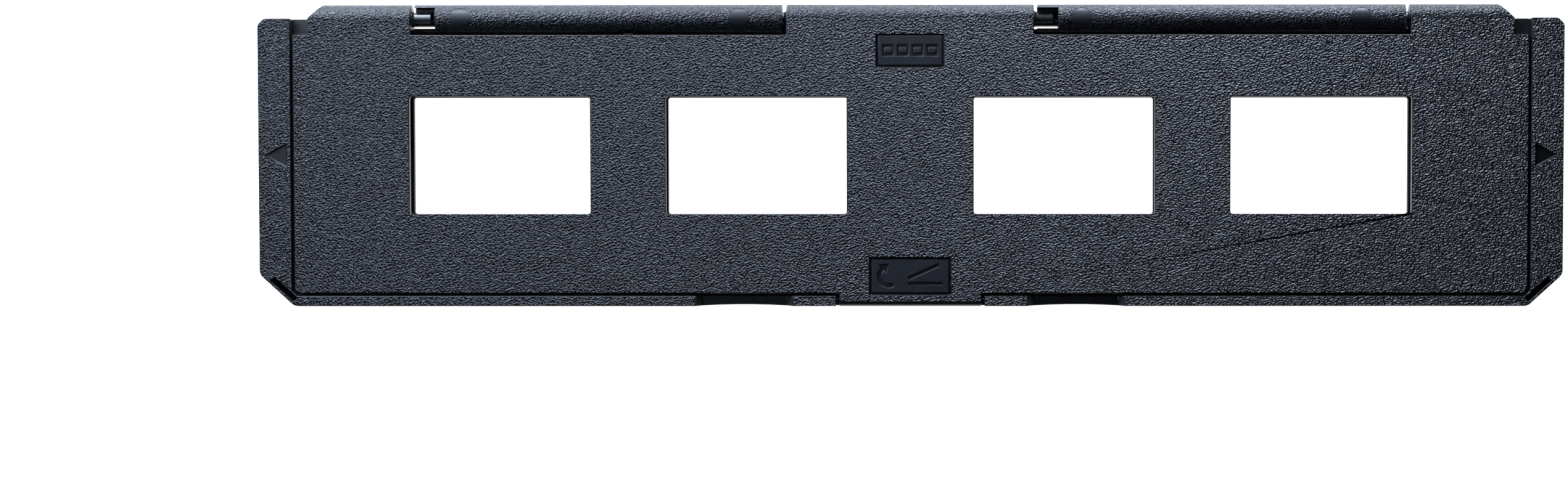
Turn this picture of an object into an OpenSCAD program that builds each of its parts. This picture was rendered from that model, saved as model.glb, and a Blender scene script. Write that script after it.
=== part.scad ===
// Hinged carrier for four 50 mm mounted slides: a base tray with four bays and a lid with
// four windows. The lid swings up and back on pins that turn in two bars of the base.
// Millimetres. +X to the right, +Y towards the hinge, +Z up.
// Origin: centre of the carrier's footprint, on the surface it lies on.

/* [Carrier] */
// Length over both end strips
carrier_l = 267; // [266:0.5:276]
// Distance from the row of windows to the front edge
front_y = 30.9; // [30.5:0.1:33]
// Width of the strips at both ends
end_strip_w = 6.7; // [6:0.1:9]
// Width of the rim along the front edge
front_rim_w = 2.1; // [1.8:0.1:3]
// Thickness of the bay floors
floor_t = 1.4; // [1:0.1:1.6]
// Thickness of the lid
lid_t = 1.6; // [1.2:0.1:2]

/* [Slides] */
// Side of a slide mount
mount_s = 50; // [49.8:0.1:50.2]
// Play of a mount in its bay
mount_play = 0.6; // [0.3:0.1:0.8]
// Width of a window
window_w = 37; // [35:0.5:40]
// Height of a window
window_h = 24; // [23:0.5:34]
// Distance between the two windows of one half
slide_pitch = 52.5; // [52:0.1:53]
// Distance between the two windows next to the middle
middle_pitch = 63; // [60:0.1:64]
// Height of the rails that press on the mounts
press_rail_h = 0.8; // [0.4:0.1:1.2]

/* [Hinge] */
// Distance of the hinge axis from the row of windows
hinge_y = 28; // [27.9:0.05:28.1]
// Height of the hinge axis
hinge_z = 3.9; // [3.8:0.05:4]
// Radius of the bars and knuckles
hinge_r = 2.9; // [2.8:0.05:3]
// Radius of the pins
pin_r = 1.35; // [1.1:0.05:1.4]
// Radial clearance of the pins in their bores
pin_fit = 0.05; // [0.02:0.01:0.1]
// Length of a pin
pin_l = 4; // [3.5:0.1:4.2]
// Distance from the middle to the outer edge of a bar's gap in the lid
bar_gap_outer = 102.2; // [101:0.1:103]
// Distance from the middle to the inner edge of a bar's gap in the lid
bar_gap_inner = 25.3; // [24:0.1:27]
// Length of the open pocket at one end of a bar
pocket_l = 4.3; // [4:0.1:5]

/* [Opening tab] */
// Width of the tab
tab_w = 29.2; // [24:0.2:32]
// Thickness of the tab
tab_t = 2.4; // [2:0.1:2.8]

/* [Hidden] */

$fn = 64;
over = 1;                                  // how far a cut runs past the face it starts from

base_colour = "#1b1d21";
lid_colour = "#22242a";
smooth_colour = "#131419";
pin_colour = "#3a3d44";

// Heights
carrier_h = hinge_z + hinge_r;
lid_z = carrier_h - lid_t;
rest_gap = 0.1;
wall_z = lid_z - rest_gap;                 // the lid rests on walls of this height
core_top_t = 1.5;                          // skin left above a pocket cored from below
rib_t = 1.2;

// Ends and corners
end_x = carrier_l / 2;
strip_x = end_x - end_strip_w;
seam = 0.45;                               // gap between lid and end strips
lid_x = strip_x - seam;
rim_y = -front_y + front_rim_w;
front_seam = 0.5;                          // gap between lid and front rim
lid_front_y = rim_y + front_seam;
lid_rear_y = 24.6;
front_chamfer = [7.1, 6.5];
front_round = 2;
rear_chamfer = 1.3;
rear_round = 1.1;
lid_chamfer = 0.9;
well_chamfer = 1.1;

// Bays
bay_s = mount_s + mount_play;
bay_y = bay_s / 2;
inner_cx = middle_pitch / 2;
outer_cx = inner_cx + slide_pitch;
bay_in_x = inner_cx - bay_s / 2;
bay_out_x = outer_cx + bay_s / 2;
divider_x = [inner_cx + bay_s / 2, outer_cx - bay_s / 2];
divider_rear_y = 25;
window_round = 0.5;
bay_rear_y = 24.9;                         // blocks end here, in front of the knuckles

// Hinge
bar_start_gap = 0.7;
bar_end_gap = 0.95;
bar_l = bar_gap_outer - bar_gap_inner - bar_start_gap - bar_end_gap;
bar_left_x = -bar_gap_outer + bar_start_gap;
bar_right_x = bar_gap_inner + bar_start_gap;
bore_r = pin_r + pin_fit;
bore_l = 4.6;
web_y = 25.3;                              // front face of a bar's foot
pocket_y = [25.9, 30.2];
pocket_slot_y = [26, 26.6];                 // goes right through beside the cradle
trough_r = hinge_r + 0.3;                  // room for the knuckles in the base
knuckle_end_x = 123.3;
knuckle_chamfer = [3, 2.9];
pin_root_r = 1.75;
pin_root_l = 0.5;
notch_ledge_z = 3.4;
notch_clear = 0.3;

// Opening tab, its sill and the latch
tab_x = tab_w / 2;
tab_gap = 0.6;
tab_z = carrier_h - tab_t;
tab_lip_r = 1;
tab_lip_y = rim_y - 0.2;
sill_y = -front_y + 1.4;                   // set back, so that a nail reaches under the tab
sill_z = tab_z - 0.4;
hook_x = [8, 12];
hook_y = [-27.9, -26.9];
hook_z = 2.6;
hook_bead_r = 0.3;
hook_clear = 0.3;
hook_pocket_y = [-28.3, -26.4];
hook_pocket_z = 2.2;

// Press rails under the lid
rail_l = 44;
rail_w = 1.6;
rail_cy = 17.5;

// Marks
scoop_cx = 34;
scoop_w = 20;
scoop_in = 0.35;                           // depth of a scoop in plan
scoop_down = 1.2;                          // depth of a scoop from the top
scoop_slope = 1.3;
arrow_l = 4.2;
arrow_w = 4.6;
arrow_cx = 129.9;
arrow_depth = 0.3;
slot_c = [128.5, -27.5];
slot_size = [6.2, 1];
slot_angle = atan2(front_chamfer[1], front_chamfer[0]);
label_groove = 0.45;
label_depth = 0.4;
engrave = 0.25;
mount_label_c = [0, 21.4];
mount_label_s = [13.8, 6.9];
open_label_c = [0, -24.8];
open_label_s = [16.6, 7.6];                 // reaches a little way onto the tab

// ---- helpers ----

function unit(v) = v / norm(v);
function turned(v, a) = [v[0] * cos(a) - v[1] * sin(a), v[0] * sin(a) + v[1] * cos(a)];

// Points of the arc of radius r that rounds corner b of the path a, b, c
function arc_points(a, b, c, r, steps = 6) =
    let (u = unit(a - b), w = unit(c - b), half = acos(u * w) / 2,
        centre = b + unit(u + w) * r / sin(half),
        from = b + u * r / tan(half) - centre,
        sweep = -sign(cross(u, w)) * (180 - 2 * half))
    [for (i = [0:steps]) centre + turned(from, sweep * i / steps)];

// Outline with the corners [x, y, radius] rounded
function rounded(points) =
    let (n = len(points))
    [for (i = [0:n - 1])
        let (p = points[i], a = points[(i + n - 1) % n], c = points[(i + 1) % n])
        each (p[2] == 0 ? [[p[0], p[1]]]
            : arc_points([a[0], a[1]], [p[0], p[1]], [c[0], c[1]], p[2]))];

module block(x, y, z) {
    translate([x[0], y[0], z[0]])
        cube([x[1] - x[0], y[1] - y[0], z[1] - z[0]]);
}

module rod_x(x, r) {
    translate([x[0], hinge_y, hinge_z])
        rotate([0, 90, 0])
            cylinder(r = r, h = x[1] - x[0]);
}

module on_side(side) {
    if (side > 0) children();
    else mirror([1, 0, 0]) children();
}

// ---- outlines ----

module base_outline() {
    rear = hinge_y;
    polygon(rounded([
        [-end_x + front_chamfer[0], -front_y, front_round],
        [end_x - front_chamfer[0], -front_y, front_round],
        [end_x, -front_y + front_chamfer[1], front_round],
        [end_x, rear - rear_chamfer, rear_round],
        [end_x - rear_chamfer, rear, rear_round],
        [-end_x + rear_chamfer, rear, rear_round],
        [-end_x, rear - rear_chamfer, rear_round],
        [-end_x, -front_y + front_chamfer[1], front_round]]));
}

// The hollow that the lid lies in, open at the rear and at the tab
module well_outline() {
    rear = hinge_y + over;
    polygon([
        [-strip_x + well_chamfer, rim_y], [-tab_x - tab_gap, rim_y],
        [-tab_x - tab_gap, -front_y - over], [tab_x + tab_gap, -front_y - over],
        [tab_x + tab_gap, rim_y], [strip_x - well_chamfer, rim_y],
        [strip_x, rim_y + well_chamfer], [strip_x, rear],
        [-strip_x, rear], [-strip_x, rim_y + well_chamfer]]);
}

module window_outline() {
    w = window_w / 2;
    h = window_h / 2;
    r = window_round;
    polygon(rounded([[-w, -h, r], [w, -h, r], [w, h, r], [-w, h, r]]));
}

module windows(centres, z) {
    for (cx = centres)
        translate([cx, 0, z[0]])
            linear_extrude(z[1] - z[0])
                window_outline();
}

// ---- base ----

// Pockets cored from below in a block, in nx columns and ny rows
module cored(x, y, nx, ny, top) {
    w = (x[1] - x[0] - rib_t) / nx;
    h = (y[1] - y[0] - rib_t) / ny;
    for (i = [0:nx - 1], j = [0:ny - 1])
        block([x[0] + rib_t + i * w, x[0] + (i + 1) * w],
            [y[0] + rib_t + j * h, y[0] + (j + 1) * h], [-over, top]);
}

// Room that the knuckles of the lid turn in
module knuckle_troughs() {
    clear = notch_clear;
    rod_x([-knuckle_end_x - clear, -bar_gap_outer + clear], trough_r);
    rod_x([-bar_gap_inner - clear, bar_gap_inner + clear], trough_r);
    rod_x([bar_gap_outer - clear, knuckle_end_x + clear], trough_r);
}

module pocket_slot(x0) {
    block([x0 - over, x0 + pocket_l], pocket_slot_y, [-over, carrier_h]);
}

module bay_floor(side) {
    color(base_colour)
    difference() {
        on_side(side)
            difference() {
                block([bay_in_x, bay_out_x], [-bay_y, hinge_y], [0, floor_t]);
                windows([inner_cx, outer_cx], [-over, floor_t + over]);
            }
        knuckle_troughs();
        pocket_slot(bar_left_x);
        pocket_slot(bar_right_x);
    }
}

module front_wall() {
    color(base_colour)
    difference() {
        intersection() {
            block([-strip_x, strip_x], [rim_y, -bay_y], [0, wall_z]);
            linear_extrude(carrier_h) well_outline();
        }
        for (side = [-1, 1])
            on_side(side)
                block([hook_x[0] - hook_clear, hook_x[1] + hook_clear], hook_pocket_y,
                    [hook_pocket_z, carrier_h]);
    }
}

// Shallow finger scoop in the front rim, hollow in plan and lower at the top
module scoop() {
    half = scoop_w / 2;
    r = (half * half + scoop_in * scoop_in) / (2 * scoop_in);
    translate([scoop_cx, -front_y - r + scoop_in, -over])
        cylinder(r = r, h = carrier_h + 2 * over, $fn = 256);
    translate([scoop_cx, rim_y + over, carrier_h])
        rotate([90, 0, 0])
            linear_extrude(front_rim_w + 2 * over)
                polygon([[-half, 0], [-half, over], [half, over], [half, 0],
                    [half - scoop_slope, -scoop_down], [-half + scoop_slope, -scoop_down]]);
}

module rim_ring() {
    linear_extrude(carrier_h)
        difference() {
            base_outline();
            well_outline();
        }
}

module front_rim(side) {
    color(base_colour)
    on_side(side)
        difference() {
            intersection() {
                rim_ring();
                block([0, strip_x - well_chamfer], [-front_y - over, rim_y + over],
                    [0, carrier_h]);
            }
            scoop();
        }
}

module tab_sill() {
    x = tab_x + tab_gap;
    color(base_colour)
    union() {
        block([-x, x], [-front_y, rim_y], [0, floor_t]);
        block([-x, x], [sill_y, rim_y], [0, sill_z]);
    }
}

// Recessed triangle that points outwards
module arrow_mark() {
    translate([arrow_cx, 0, carrier_h - arrow_depth])
        linear_extrude(arrow_depth + over)
            polygon([[-arrow_l / 2, -arrow_w / 2], [arrow_l / 2, 0], [-arrow_l / 2, arrow_w / 2]]);
}

module corner_slot() {
    translate([slot_c[0], slot_c[1], floor_t])
        rotate([0, 0, slot_angle])
            translate([-slot_size[0] / 2, -slot_size[1] / 2, 0])
                cube([slot_size[0], slot_size[1], carrier_h]);
}

module end_strip(side) {
    x = strip_x - well_chamfer;
    core_y = [-front_y + front_chamfer[1] + rib_t, hinge_y - rib_t];
    color(base_colour)
    on_side(side)
        difference() {
            intersection() {
                rim_ring();
                block([x, end_x], [-front_y, hinge_y], [0, carrier_h]);
            }
            arrow_mark();
            corner_slot();
            cored([strip_x, end_x - rib_t], core_y, 1, 3, carrier_h - core_top_t);
        }
}

// Foot of a block that reaches back under a knuckle
module rear_foot(x) {
    block(x, [bay_rear_y, hinge_y], [0, floor_t]);
}

module end_block(side) {
    color(base_colour)
    difference() {
        on_side(side)
            difference() {
                union() {
                    block([bay_out_x, strip_x], [-bay_y, bay_rear_y], [0, wall_z]);
                    rear_foot([bay_out_x, strip_x]);
                    block([knuckle_end_x + notch_clear, strip_x], [bay_rear_y, hinge_y],
                        [0, notch_ledge_z]);
                }
                cored([bay_out_x, strip_x], [-bay_y, bay_rear_y], 2, 3, wall_z - core_top_t);
            }
        knuckle_troughs();
    }
}

module centre_block() {
    color(base_colour)
    difference() {
        union() {
            block([-bay_in_x, bay_in_x], [-bay_y, bay_rear_y], [0, wall_z]);
            rear_foot([-bay_in_x, bay_in_x]);
        }
        cored([-bay_in_x, bay_in_x], [-bay_y, bay_rear_y], 2, 3, wall_z - core_top_t);
        knuckle_troughs();
    }
}

module bay_divider(side) {
    color(base_colour)
    on_side(side)
        block(divider_x, [-bay_y, divider_rear_y], [floor_t, wall_z]);
}

// Bar of the base that holds two pins of the lid: an open pocket with a cradle at its left
// end and a blind bore at its right end
module hinge_bar(x0) {
    x1 = x0 + bar_l;
    color(base_colour)
    difference() {
        union() {
            rod_x([x0, x1], hinge_r);
            block([x0, x1], [web_y, hinge_y], [floor_t, hinge_z]);
        }
        block([x0 - over, x1 + over], [0, hinge_y + 2 * hinge_r], [-over, floor_t]);
        block([x0 - over, x0 + pocket_l], pocket_y, [hinge_z, carrier_h + over]);
        pocket_slot(x0);
        rod_x([x0 - over, x0 + pocket_l], bore_r);
        rod_x([x1 - bore_l, x1 + over], bore_r);
    }
}

// ---- lid ----

module label_recess(c, s) {
    translate([c[0] - s[0] / 2, c[1] - s[1] / 2, carrier_h - label_depth])
        cube([s[0], s[1], label_depth + over]);
}

module lid_panel() {
    color(lid_colour)
    difference() {
        translate([0, 0, lid_z])
            linear_extrude(lid_t)
                polygon([[-lid_x + lid_chamfer, lid_front_y], [lid_x - lid_chamfer, lid_front_y],
                    [lid_x, lid_front_y + lid_chamfer], [lid_x, lid_rear_y],
                    [-lid_x, lid_rear_y], [-lid_x, lid_front_y + lid_chamfer]]);
        windows([-outer_cx, -inner_cx, inner_cx, outer_cx], [0, carrier_h + over]);
        label_recess(mount_label_c, mount_label_s);
        label_recess(open_label_c, open_label_s);
    }
}

// Cuts the rear corner off the outer end of the right knuckle
module knuckle_corner_cut() {
    angle = atan2(knuckle_chamfer[1], knuckle_chamfer[0]);
    translate([knuckle_end_x, hinge_y, 0])
        rotate([0, 0, -angle])
            translate([-carrier_h, 0, -over])
                cube([2 * carrier_h, carrier_h, carrier_h + 2 * over]);
}

module knuckle(x) {
    union() {
        rod_x(x, hinge_r);
        block(x, [lid_rear_y, hinge_y], [lid_z, carrier_h]);
    }
}

module outer_knuckle(side) {
    color(lid_colour)
    on_side(side)
        difference() {
            knuckle([bar_gap_outer, knuckle_end_x]);
            knuckle_corner_cut();
        }
}

module centre_knuckle() {
    color(lid_colour)
    knuckle([-bar_gap_inner, bar_gap_inner]);
}

// Pin on the axis, from x in direction dir, with a conical root
module pin(x, dir) {
    color(pin_colour)
    translate([x, hinge_y, hinge_z])
        rotate([0, dir * 90, 0])
            union() {
                cylinder(r1 = pin_root_r, r2 = pin_r, h = pin_root_l);
                cylinder(r = pin_r, h = pin_l);
            }
}

// Tab that overhangs the front rim: thicker along its front, where its upper edge is round
module open_tab() {
    color(lid_colour)
    difference() {
        union() {
            block([-tab_x, tab_x], [-front_y, lid_front_y], [lid_z, carrier_h]);
            block([-tab_x, tab_x], [-front_y, tab_lip_y], [tab_z, lid_z]);
        }
        difference() {
            block([-tab_x - over, tab_x + over], [-front_y - over, -front_y + tab_lip_r],
                [carrier_h - tab_lip_r, carrier_h + over]);
            translate([-tab_x - over, -front_y + tab_lip_r, carrier_h - tab_lip_r])
                rotate([0, 90, 0])
                    cylinder(r = tab_lip_r, h = tab_w + 2 * over);
        }
        label_recess(open_label_c, open_label_s);
    }
}

module latch_hook(side) {
    color(lid_colour)
    on_side(side)
        union() {
            block(hook_x, hook_y, [hook_z, lid_z]);
            translate([hook_x[0], hook_y[0], hook_z + 2 * hook_bead_r])
                rotate([0, 90, 0])
                    cylinder(r = hook_bead_r, h = hook_x[1] - hook_x[0]);
        }
}

module press_rails(cx) {
    color(lid_colour)
    for (cy = [-rail_cy, rail_cy])
        block([cx - rail_l / 2, cx + rail_l / 2], [cy - rail_w / 2, cy + rail_w / 2],
            [lid_z - press_rail_h, lid_z]);
}

// ---- labels ----

module label_plate(c, s) {
    w = s[0] - 2 * label_groove;
    h = s[1] - 2 * label_groove;
    translate([c[0] - w / 2, c[1] - h / 2, carrier_h - label_depth])
        cube([w, h, label_depth]);
}

module engraved(c) {
    translate([c[0], c[1], carrier_h - engrave])
        linear_extrude(engrave + over)
            children();
}

// Slide mount seen from above: a square frame with a window
module mount_icon(s) {
    difference() {
        square(s, center = true);
        square([0.62 * s, 0.42 * s], center = true);
    }
}

// Smooth field with a row of slide mounts
module mount_label() {
    icon_s = 2.4;
    icon_pitch = 3;
    color(smooth_colour)
    difference() {
        label_plate(mount_label_c, mount_label_s);
        engraved(mount_label_c)
            for (i = [-1.5:1.5])
                translate([i * icon_pitch, 0])
                    mount_icon(icon_s);
    }
}

// A flat bar with a second bar that is lifted from it at one end
module lifted_lid_icon() {
    bar = [7, 0.7];
    lift = 24;
    translate([-bar[0] / 2, -1.9]) square(bar);
    translate([-bar[0] / 2, -0.8]) rotate(lift) square(bar);
}

// Arrow that turns up and over, as the lid does
module turning_arrow() {
    r = [1.5, 2.4];
    start = -60;
    end = -230;
    steps = 16;
    head = [1.7, 1.2];
    angles = [for (i = [0:steps]) start + (end - start) * i / steps];
    polygon(concat([for (a = angles) r[1] * [cos(a), sin(a)]],
        [for (i = [steps:-1:0]) r[0] * [cos(angles[i]), sin(angles[i])]]));
    translate((r[0] + r[1]) / 2 * [cos(end), sin(end)])
        rotate(end - 90)
            polygon([[0, -head[1]], [head[0], 0], [0, head[1]]]);
}

// Smooth field with the turning arrow and the lifted lid
module open_label() {
    arrow_shift = 4.4;
    lid_icon_shift = 3.2;
    color(smooth_colour)
    difference() {
        label_plate(open_label_c, open_label_s);
        engraved([open_label_c[0] - arrow_shift, open_label_c[1]])
            turning_arrow();
        engraved([open_label_c[0] + lid_icon_shift, open_label_c[1]])
            lifted_lid_icon();
    }
}

bay_floor(-1);  // bay_floor_left
bay_floor(1);  // bay_floor_right
front_wall();
front_rim(-1);  // front_rim_left
front_rim(1);  // front_rim_right
tab_sill();
end_strip(-1);  // end_strip_left
end_strip(1);  // end_strip_right
end_block(-1);  // end_block_left
end_block(1);  // end_block_right
centre_block();
bay_divider(-1);  // bay_divider_left
bay_divider(1);  // bay_divider_right
hinge_bar(bar_left_x);  // hinge_bar_left
hinge_bar(bar_right_x);  // hinge_bar_right
lid_panel();
outer_knuckle(-1);  // knuckle_left
centre_knuckle();  // knuckle_centre
outer_knuckle(1);  // knuckle_right
pin(-bar_gap_outer, 1);  // pin_outer_left
pin(-bar_gap_inner, -1);  // pin_inner_left
pin(bar_gap_inner, 1);  // pin_inner_right
pin(bar_gap_outer, -1);  // pin_outer_right
open_tab();
latch_hook(-1);  // latch_hook_left
latch_hook(1);  // latch_hook_right
press_rails(-outer_cx);  // press_rails_1
press_rails(-inner_cx);  // press_rails_2
press_rails(inner_cx);  // press_rails_3
press_rails(outer_cx);  // press_rails_4
mount_label();
open_label();
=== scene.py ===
"""Looks of the hinged carrier for four mounted slides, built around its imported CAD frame.

Everything is in metres in the row frame: +X along the windows, +Y towards the hinge, +Z up.
"""

import math

import bmesh
import bpy
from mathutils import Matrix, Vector


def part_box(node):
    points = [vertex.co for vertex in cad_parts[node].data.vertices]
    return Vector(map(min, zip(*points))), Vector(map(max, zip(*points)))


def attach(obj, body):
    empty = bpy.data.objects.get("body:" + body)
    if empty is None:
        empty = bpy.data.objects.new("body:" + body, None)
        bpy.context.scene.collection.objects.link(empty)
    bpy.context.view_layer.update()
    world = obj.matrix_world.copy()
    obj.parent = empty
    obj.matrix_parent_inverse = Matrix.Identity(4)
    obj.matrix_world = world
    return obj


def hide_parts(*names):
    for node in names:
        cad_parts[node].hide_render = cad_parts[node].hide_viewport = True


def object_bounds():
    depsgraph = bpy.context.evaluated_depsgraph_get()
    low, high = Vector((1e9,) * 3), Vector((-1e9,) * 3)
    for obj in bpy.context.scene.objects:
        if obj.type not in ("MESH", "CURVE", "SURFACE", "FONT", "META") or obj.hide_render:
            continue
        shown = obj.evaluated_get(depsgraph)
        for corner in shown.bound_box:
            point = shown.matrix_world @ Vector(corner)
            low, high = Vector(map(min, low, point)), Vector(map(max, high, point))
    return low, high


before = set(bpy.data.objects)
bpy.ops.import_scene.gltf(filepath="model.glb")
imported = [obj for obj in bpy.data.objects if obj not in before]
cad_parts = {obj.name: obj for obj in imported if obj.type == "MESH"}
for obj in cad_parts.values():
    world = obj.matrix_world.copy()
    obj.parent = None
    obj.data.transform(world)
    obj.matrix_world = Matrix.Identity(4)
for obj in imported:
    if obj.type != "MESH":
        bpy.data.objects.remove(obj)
cad_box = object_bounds()

MM = 0.001
BASE = "base"
LID = "lid"

# ---- sizes worked out from the frame ----

TOP_Z = cad_box[1].z
bar_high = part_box("hinge_bar_left")[1]
pin_low, pin_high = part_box("pin_outer_left")
HINGE_R = bar_high.z - (pin_low.z + pin_high.z) / 2
HINGE_Y = bar_high.y - HINGE_R
HINGE_Z = bar_high.z - HINGE_R

# ---- tolerances, and what counts as which way a face looks ----

WELD = 0.002 * MM
NEAR = 0.02 * MM
FLAT = math.radians(0.6)
EDGE_ANGLE = math.radians(25)
FACES_UP = 0.97
FACES_SIDEWAYS = 0.5
END_FACE = 0.1
AREA_WEIGHT = 90

# ---- mesh helpers ----


def linked(name, mesh):
    """A new object with this mesh, in the scene."""
    piece = bpy.data.objects.new(name, mesh)
    bpy.context.scene.collection.objects.link(piece)
    return piece


def dropped(piece):
    """Takes a helper object out of the scene."""
    mesh = piece.data
    bpy.data.objects.remove(piece)
    bpy.data.meshes.remove(mesh)


def clean(mesh, dissolve=False):
    """Welds a mesh, and joins its coplanar faces if asked."""
    bm = bmesh.new()
    bm.from_mesh(mesh)
    bmesh.ops.remove_doubles(bm, verts=bm.verts, dist=WELD)
    bmesh.ops.dissolve_degenerate(bm, edges=bm.edges, dist=WELD)
    if dissolve:
        bmesh.ops.dissolve_limit(bm, angle_limit=FLAT, verts=bm.verts, edges=bm.edges)
    bmesh.ops.recalc_face_normals(bm, faces=bm.faces)
    bm.to_mesh(mesh)
    bm.free()


def node_copy(name, node):
    """A closed copy of a CAD node's mesh, as a new object."""
    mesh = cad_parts[node].data.copy()
    mesh.materials.clear()
    if mesh.has_custom_normals:
        mesh.attributes.remove(mesh.attributes["custom_normal"])
    for attribute in [a for a in mesh.attributes if a.name == "sharp_edge"]:
        mesh.attributes.remove(attribute)
    clean(mesh)
    return linked(name, mesh)


def applied(piece):
    """Makes the modifiers of a piece final."""
    graph = bpy.context.evaluated_depsgraph_get()
    made = bpy.data.meshes.new_from_object(piece.evaluated_get(graph))
    old = piece.data
    piece.modifiers.clear()
    piece.data = made
    made.name = piece.name
    bpy.data.meshes.remove(old)
    return piece


def combined(piece, tool, operation):
    """Boolean of a piece with a tool, which is used up."""
    step = piece.modifiers.new("combine", "BOOLEAN")
    step.operation = operation
    step.solver = "EXACT"
    step.object = tool
    applied(piece)
    dropped(tool)
    return piece


def shell_of(name, nodes):
    """One closed shell made of CAD nodes that touch."""
    piece = node_copy(name, nodes[0])
    for node in nodes[1:]:
        combined(piece, node_copy("tool", node), "UNION")
    clean(piece.data, dissolve=True)
    return piece


def softened(piece, width, segments=2):
    """Rounds the sharp edges of a piece and smooths its shading."""
    clean(piece.data, dissolve=True)
    edge = piece.modifiers.new("edge", "BEVEL")
    edge.width = width
    edge.segments = segments
    edge.limit_method = "ANGLE"
    edge.angle_limit = EDGE_ANGLE
    edge.use_clamp_overlap = False
    applied(piece)
    clean(piece.data)
    piece.data.shade_smooth()
    normals = piece.modifiers.new("normals", "WEIGHTED_NORMAL")
    normals.weight = AREA_WEIGHT
    normals.keep_sharp = False
    applied(piece)
    return piece


def hinge_radius(point):
    """Distance of a point from the hinge axis."""
    return math.hypot(point.y - HINGE_Y, point.z - HINGE_Z)


def hinge_normals(piece):
    """Gives the faces that are round about the hinge axis the normals of a true cylinder."""
    mesh = piece.data
    normals = [Vector(corner.vector) for corner in mesh.corner_normals]
    for face in mesh.polygons:
        points = [mesh.vertices[v].co for v in face.vertices]
        off_round = any(abs(hinge_radius(point) - HINGE_R) > NEAR for point in points)
        if off_round or abs(face.normal.x) > END_FACE:
            continue
        for loop, point in zip(face.loop_indices, points):
            normals[loop] = Vector((0, point.y - HINGE_Y, point.z - HINGE_Z)).normalized()
    mesh.normals_split_custom_set(normals)


def rod(name, start, axis, length, radius, sides=48):
    """A closed cylinder along an axis, from its start point."""
    bm = bmesh.new()
    bmesh.ops.create_cone(bm, cap_ends=True, segments=sides, radius1=radius, radius2=radius,
                          depth=length)
    turn = Vector((0, 0, 1)).rotation_difference(Vector(axis)).to_matrix().to_4x4()
    bmesh.ops.transform(bm, matrix=turn, verts=bm.verts)
    bmesh.ops.translate(bm, vec=Vector(start) + Vector(axis) * length / 2, verts=bm.verts)
    mesh = bpy.data.meshes.new(name)
    bm.to_mesh(mesh)
    bm.free()
    return linked(name, mesh)


def painted(piece, materials, chooser):
    """Gives each face the material whose index chooser(centre, normal) returns."""
    piece.data.materials.clear()
    for material in materials:
        piece.data.materials.append(material)
    for face in piece.data.polygons:
        face.material_index = chooser(face.center, face.normal)
    return piece


def placed(piece, body, slot_name, *nodes):
    """Rides a piece on its body and hides the CAD nodes it stands for; slot_name is not used."""
    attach(piece, body)
    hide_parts(*nodes)
    return piece


# ---- materials ----


def new_material(name):
    """A material with only a Principled shader, and its node tree."""
    material = bpy.data.materials.new(name)
    material.use_nodes = True
    tree = material.node_tree
    return material, tree, tree.nodes["Principled BSDF"]


def add(tree, kind, links=None, values=None, **settings):
    """Adds a node, sets its values and links its inputs."""
    made = tree.nodes.new(kind)
    for key, value in settings.items():
        setattr(made, key, value)
    for key, value in (values or {}).items():
        made.inputs[key].default_value = value
    for key, source in (links or {}).items():
        tree.links.new(source, made.inputs[key])
    return made


def mapped(tree, source, low_in, high_in, low_out, high_out, smooth=False):
    """A value brought from one range to another."""
    made = add(tree, "ShaderNodeMapRange", links={"Value": source},
               values={"From Min": low_in, "From Max": high_in, "To Min": low_out, "To Max": high_out},
               interpolation_type="SMOOTHSTEP" if smooth else "LINEAR")
    return made.outputs["Result"]


def mixed(tree, factor, first, second):
    """Two colours mixed by a factor."""
    made = add(tree, "ShaderNodeMix", data_type="RGBA")
    tree.links.new(factor, made.inputs["Factor"])
    colours = [i for i in made.inputs if i.type == "RGBA"]
    colours[0].default_value = (*first, 1)
    colours[1].default_value = (*second, 1)
    return [o for o in made.outputs if o.type == "RGBA"][0]


def noise(tree, coords, size, detail=0.0, distortion=0.0):
    """Noise whose cells have this size in metres."""
    made = add(tree, "ShaderNodeTexNoise", links={"Vector": coords},
               values={"Scale": 1 / size, "Detail": detail, "Distortion": distortion})
    return made.outputs["Fac"]


def object_coords(tree):
    return add(tree, "ShaderNodeTexCoord").outputs["Object"]


def bumped(tree, shader, height, depth):
    """Feeds a height of this depth in metres to the shader's normal."""
    made = add(tree, "ShaderNodeBump", links={"Height": height},
               values={"Strength": 1.0, "Distance": depth})
    tree.links.new(made.outputs["Normal"], shader.inputs["Normal"])


PLASTIC_IOR = 1.52
GLOSS_SPREAD = 0.15

# The range that most noise values lie in
SPREAD_LOW = 0.3
SPREAD_HIGH = 0.7

# The grain: its cells, how much and which way they are drawn out, the heights of its pebbles, and the
# heights over which painted shade in the valleys turns to lighter pebble tops
GRAIN_CELL = 0.34 * MM
GRAIN_STRETCH = (0.85, 1.0, 1.0)
GRAIN_TURN = (0.0, 0.0, math.radians(-25))
GRAIN_HEIGHTS = (0.2, 0.8)
SHADE_TO_SHEEN_HEIGHTS = (0.35, 0.75)
GRAIN_ROUGH = 0.36
GRAIN_GLOSS_CELL = 0.9 * MM
PATCH_CELL = 24 * MM
PATCH_TONE = (0.88, 1.12)

# Smooth plastic: flow marks, and a gloss that varies over fine cells
FLOW_CELL = 6 * MM
GLOSS_CELL = 0.5 * MM
GLOSS_DEPTH = 0.004 * MM

FIBRE_CELL = 1.5 * MM


def uneven_gloss(tree, shader, source, rough):
    """A roughness that varies a little about its middle value."""
    spread = rough * GLOSS_SPREAD
    varied = mapped(tree, source, SPREAD_LOW, SPREAD_HIGH, rough - spread, rough + spread)
    tree.links.new(varied, shader.inputs["Roughness"])


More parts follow.
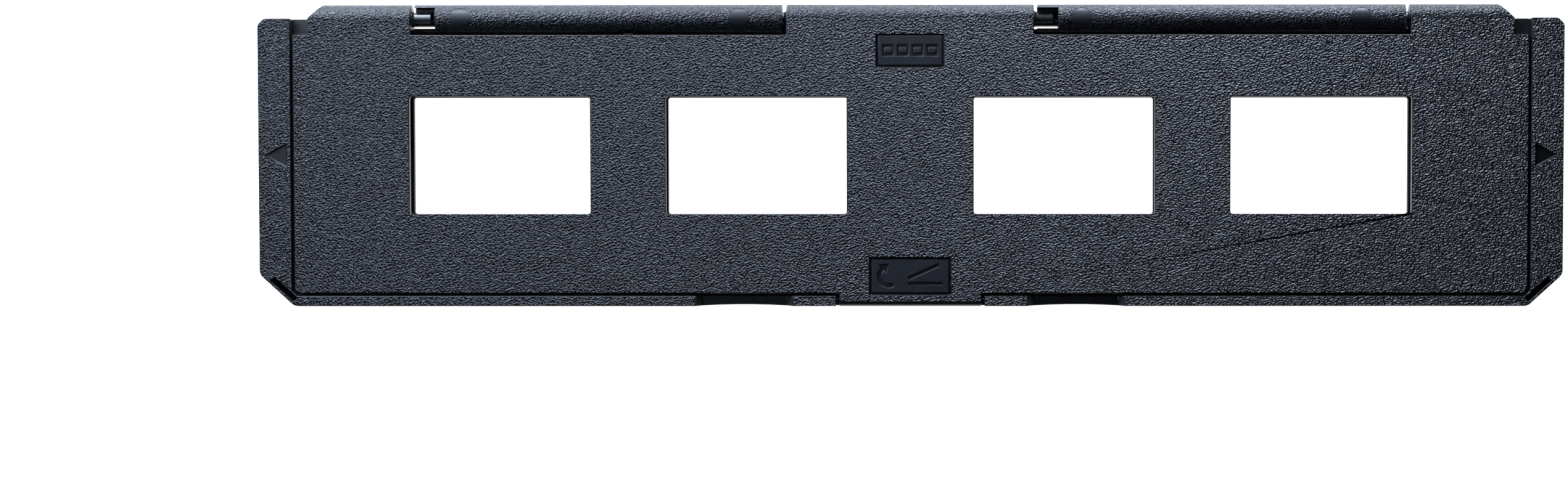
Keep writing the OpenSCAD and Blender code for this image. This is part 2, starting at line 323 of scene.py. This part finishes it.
def grained_plastic(name, valley_shade, worn_pebble_sheen, depth):
    """Black moulded plastic with a fine pebbled leather grain, its valleys darkened with painted shade and
    its pebble tops lighter, partly as wear and partly as painted highlight.
    """
    material, tree, shader = new_material(name)
    coords = object_coords(tree)
    stretched = add(tree, "ShaderNodeMapping", links={"Vector": coords},
                    values={"Scale": GRAIN_STRETCH, "Rotation": GRAIN_TURN})
    pebbles = noise(tree, stretched.outputs["Vector"], GRAIN_CELL, distortion=0.3)
    height = mapped(tree, pebbles, *GRAIN_HEIGHTS, 0, 1)
    patches = noise(tree, coords, PATCH_CELL, detail=2.0)
    tone = mapped(tree, patches, SPREAD_LOW, SPREAD_HIGH, *PATCH_TONE)
    # Painted shade: the colour darkens into the grain's valleys; the lighter pebble tops are partly wear,
    # partly painted highlight
    shade_to_sheen = mapped(tree, height, *SHADE_TO_SHEEN_HEIGHTS, 0, 1, smooth=True)
    colour = mixed(tree, shade_to_sheen, valley_shade, worn_pebble_sheen)
    varied = add(tree, "ShaderNodeHueSaturation", links={"Color": colour, "Value": tone})
    tree.links.new(varied.outputs["Color"], shader.inputs["Base Color"])
    uneven_gloss(tree, shader, noise(tree, coords, GRAIN_GLOSS_CELL, detail=2.0), GRAIN_ROUGH)
    shader.inputs["IOR"].default_value = PLASTIC_IOR
    bumped(tree, shader, height, depth)
    return material


def smooth_plastic(name, dark, light, rough, ior=PLASTIC_IOR):
    """Smooth moulded plastic with faint flow marks and a slightly uneven gloss."""
    material, tree, shader = new_material(name)
    coords = object_coords(tree)
    flow = noise(tree, coords, FLOW_CELL, detail=3.0, distortion=0.6)
    colour = mixed(tree, mapped(tree, flow, SPREAD_LOW, SPREAD_HIGH, 0, 1), dark, light)
    tree.links.new(colour, shader.inputs["Base Color"])
    fine = noise(tree, coords, GLOSS_CELL, detail=3.0)
    uneven_gloss(tree, shader, fine, rough)
    shader.inputs["IOR"].default_value = ior
    bumped(tree, shader, fine, GLOSS_DEPTH)
    return material


def floor_material():
    """Matt pale paper, lit evenly from below as on a light table."""
    material, tree, shader = new_material("pale_paper")
    coords = object_coords(tree)
    fibres = noise(tree, coords, FIBRE_CELL, detail=4.0)
    colour = mixed(tree, fibres, (0.90, 0.90, 0.90), (0.96, 0.96, 0.96))
    tree.links.new(colour, shader.inputs["Base Color"])
    shader.inputs["Roughness"].default_value = 0.9
    shader.inputs["Emission Color"].default_value = (1.0, 1.0, 1.0, 1)
    shader.inputs["Emission Strength"].default_value = 1.0
    return material


# Each grain's first colour is painted shade for its valleys, its second the pebble tops, partly wear and
# partly painted highlight
GRAIN = grained_plastic("grained_plastic", (0.001, 0.001, 0.0014), (0.036, 0.040, 0.052), 0.42 * MM)
FAINT = grained_plastic("faint_grain_plastic", (0.003, 0.003, 0.004), (0.034, 0.038, 0.048), 0.15 * MM)
SMOOTH = smooth_plastic("smooth_plastic", (0.004, 0.0042, 0.005), (0.007, 0.0075, 0.009), 0.36)
INNER = smooth_plastic("inner_plastic", (0.004, 0.0042, 0.005), (0.006, 0.0065, 0.008), 0.5)
PIN = smooth_plastic("pin_plastic", (0.010, 0.011, 0.013), (0.014, 0.015, 0.018), 0.3, ior=2.0)
MARK = smooth_plastic("ejector_mark_plastic", (0.010, 0.011, 0.014), (0.015, 0.0165, 0.021), 0.42)
LABEL = smooth_plastic("label_plastic", (0.020, 0.0215, 0.026), (0.026, 0.028, 0.034), 0.33)
ENGRAVED = smooth_plastic("engraved_plastic", (0.004, 0.004, 0.005), (0.006, 0.006, 0.008), 0.45)

# ---- lid ----

LID_NODES = ("lid_panel", "knuckle_left", "knuckle_centre", "knuckle_right", "open_tab")
SHELL_EDGE = 0.2 * MM
SMOOTH_LIP = 1.0 * MM
KNUCKLE_OVERLAP = 0.3 * MM
LIP_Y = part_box("open_tab")[0].y + SMOOTH_LIP


def on_top(centre, normal):
    """Whether a face lies in the top plane."""
    return normal.z > FACES_UP and centre.z > TOP_Z - NEAR


def lid_face(centre, normal):
    """0 grained top, 1 smooth, 2 faint grain on the knuckles."""
    if centre.y > HINGE_Y - KNUCKLE_OVERLAP and abs(normal.x) < FACES_SIDEWAYS:
        return 2
    if on_top(centre, normal) and centre.y > LIP_Y:
        return 0
    return 1


def make_lid():
    shell = shell_of("lid_shell", LID_NODES)
    softened(shell, SHELL_EDGE, segments=3)
    hinge_normals(shell)
    painted(shell, (GRAIN, SMOOTH, FAINT), lid_face)
    return placed(shell, LID, "lid_plastic", *LID_NODES)


# ---- base ----

RIM_NODES = ("end_strip_left", "front_rim_left", "tab_sill", "front_rim_right", "end_strip_right")


def rim_face(centre, normal):
    """0 grained top, 1 smooth."""
    return 0 if on_top(centre, normal) else 1


def make_rim():
    rim = shell_of("base_rim", RIM_NODES)
    softened(rim, SHELL_EDGE, segments=3)
    painted(rim, (GRAIN, SMOOTH), rim_face)
    return placed(rim, BASE, "base_plastic", *RIM_NODES)


# Round ejector marks on the hinge bars: radius, ring groove and places
MARK_R = 2.15 * MM
MARK_GROOVE = 0.14 * MM
MARK_DEPTH = 0.06 * MM
MARK_X = (35.0 * MM, 92.1 * MM)
CORE_SIDES = 64


def mark_groove(x):
    """Tool that cuts the thin ring round an ejector mark, following the bar's curve."""
    depth = 4 * HINGE_R
    ring = rod("tool", (x, HINGE_Y, HINGE_Z), (0, 0, 1), depth, MARK_R)
    hole = rod("tool", (x, HINGE_Y, HINGE_Z - MM), (0, 0, 1), 2 * depth, MARK_R - MARK_GROOVE)
    combined(ring, hole, "DIFFERENCE")
    core = rod("tool", (x - depth / 2, HINGE_Y, HINGE_Z), (1, 0, 0), depth, HINGE_R - MARK_DEPTH, CORE_SIDES)
    return combined(ring, core, "DIFFERENCE")


def in_mark(point):
    """Whether a point, seen from above, lies inside an ejector mark."""
    return any(math.hypot(abs(point.x) - x, point.y - HINGE_Y) < MARK_R for x in MARK_X)


def bar_face(centre, normal):
    """0 faint grain on the round surface, 1 bare marks and inner faces."""
    on_round = hinge_radius(centre) > HINGE_R - NEAR and abs(normal.x) < FACES_SIDEWAYS
    return 0 if on_round and not in_mark(centre) else 1


def make_bar(side, sign):
    node = "hinge_bar_" + side
    bar = node_copy("bar_" + side, node)
    clean(bar.data, dissolve=True)
    for x in MARK_X:
        combined(bar, mark_groove(sign * x), "DIFFERENCE")
    bar.data.shade_smooth()
    bar.data.set_sharp_from_angle(angle=EDGE_ANGLE)
    hinge_normals(bar)
    painted(bar, (FAINT, MARK), bar_face)
    return placed(bar, BASE, "base_plastic", node)


PIN_EDGE = 0.15 * MM


def make_pin(node):
    pin = node_copy(node.replace("pin_", "hinge_pin_"), node)
    softened(pin, PIN_EDGE)
    painted(pin, (PIN,), lambda centre, normal: 0)
    return placed(pin, LID, "pin_plastic", node)


# ---- labels ----

LABEL_EDGE = 0.1 * MM
ENGRAVED_TOP = TOP_Z - 0.1 * MM
FLOOR_UP = 0.9


def label_face(centre, normal):
    """0 the field, 1 the floor of an engraved icon."""
    return 1 if centre.z < ENGRAVED_TOP and normal.z > FLOOR_UP else 0


def make_label(node):
    plate = node_copy(node + "_plate", node)
    softened(plate, LABEL_EDGE)
    painted(plate, (LABEL, ENGRAVED), label_face)
    return placed(plate, LID, "label_plastic", node)


# ---- CAD nodes that are shown as they are ----

KEPT = ["front_wall", "centre_block"]
KEPT += [part + side for part in ("bay_floor_", "end_block_", "bay_divider_", "latch_hook_")
         for side in ("left", "right")]
KEPT += ["press_rails_%d" % number for number in range(1, 5)]


def dress(node):
    """Gives a carried-over CAD node its finish."""
    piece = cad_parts[node]
    piece.data.materials.clear()
    piece.data.materials.append(INNER)


# ---- stage ----

STAGE_SIZE = 24.0
FLOOR_DROP = 0.02 * MM


def make_floor():
    bm = bmesh.new()
    bmesh.ops.create_grid(bm, x_segments=1, y_segments=1, size=STAGE_SIZE / 2)
    mesh = bpy.data.meshes.new("floor")
    bm.to_mesh(mesh)
    bm.free()
    floor = linked("floor", mesh)
    floor.location.z = -FLOOR_DROP
    floor.data.materials.append(floor_material())


# Soft panels behind the object, more of them on the left: place, size, power in watts
COOL = (0.73, 0.825, 1.0)
PANELS = {
    "rear_far_panel": ((-0.35, 1.3, 0.38), (2.0, 0.66), 9),
    "rear_near_strip": ((-0.12, 0.145, 0.075), (0.26, 0.04), 0.60),
    "rear_right_strip": ((0.075, 0.15, 0.022), (0.14, 0.025), 0.32),
    "rear_left_panel": ((-0.22, 0.26, 0.30), (0.5, 0.35), 0.7),
    "rear_top_panel": ((-0.20, 0.20, 0.50), (0.4, 0.2), 0.4),
}


def soft_light(name, place, size, power):
    """A large soft panel that faces the object."""
    light = bpy.data.lights.new(name, "AREA")
    light.shape = "RECTANGLE"
    light.size = size[0]
    light.size_y = size[1]
    light.energy = power
    light.color = COOL
    panel = bpy.data.objects.new(name, light)
    bpy.context.scene.collection.objects.link(panel)
    panel.location = place
    panel.rotation_mode = "QUATERNION"
    panel.rotation_quaternion = (-Vector(place)).to_track_quat("-Z", "Y")
    panel.visible_camera = False


def make_lights():
    for name, (place, size, power) in PANELS.items():
        soft_light(name, place, size, power)


# The world is pale in a band at the horizon and dark above it
BAND = (0.02, 0.12)
BAND_COLOUR = (0.40, 0.42, 0.46)
SKY_COLOUR = (0.007, 0.008, 0.010)


def make_world():
    world = bpy.data.worlds.new("studio")
    bpy.context.scene.world = world
    world.use_nodes = True
    tree = world.node_tree
    background = tree.nodes["Background"]
    direction = add(tree, "ShaderNodeTexCoord").outputs["Generated"]
    up = add(tree, "ShaderNodeSeparateXYZ", links={"Vector": direction})
    factor = mapped(tree, up.outputs["Z"], *BAND, 0, 1, smooth=True)
    colour = mixed(tree, factor, BAND_COLOUR, SKY_COLOUR)
    tree.links.new(colour, background.inputs["Color"])
    background.inputs["Strength"].default_value = 1.0


# Camera station over the windows, with its turn in degrees and its lens in millimetres
CAMERA_PLACE = Vector((10, -12, 620)) * MM
CAMERA_TURN = (-2.5, 0.3754, -0.0216)
SENSOR = 36
LENS = 68.73
SHIFT = (-0.0991, 0.0625)
CLIP = (0.01, 100)


def make_camera():
    camera = bpy.data.objects.new("camera", bpy.data.cameras.new("camera"))
    bpy.context.scene.collection.objects.link(camera)
    camera.location = CAMERA_PLACE
    camera.rotation_euler = [math.radians(a) for a in CAMERA_TURN]
    camera.data.sensor_fit = "HORIZONTAL"
    camera.data.sensor_width = SENSOR
    camera.data.lens = LENS
    camera.data.shift_x, camera.data.shift_y = SHIFT
    camera.data.clip_start, camera.data.clip_end = CLIP
    bpy.context.scene.camera = camera


bpy.context.scene.view_settings.view_transform = "Standard"
make_camera()
make_world()
make_lights()
make_floor()
make_lid()
make_rim()
make_bar("left", -1)
make_bar("right", 1)
for pin_node in ("pin_outer_left", "pin_inner_left", "pin_inner_right", "pin_outer_right"):
    make_pin(pin_node)
for label_node in ("mount_label", "open_label"):
    make_label(label_node)
for kept_node in KEPT:
    dress(kept_node)
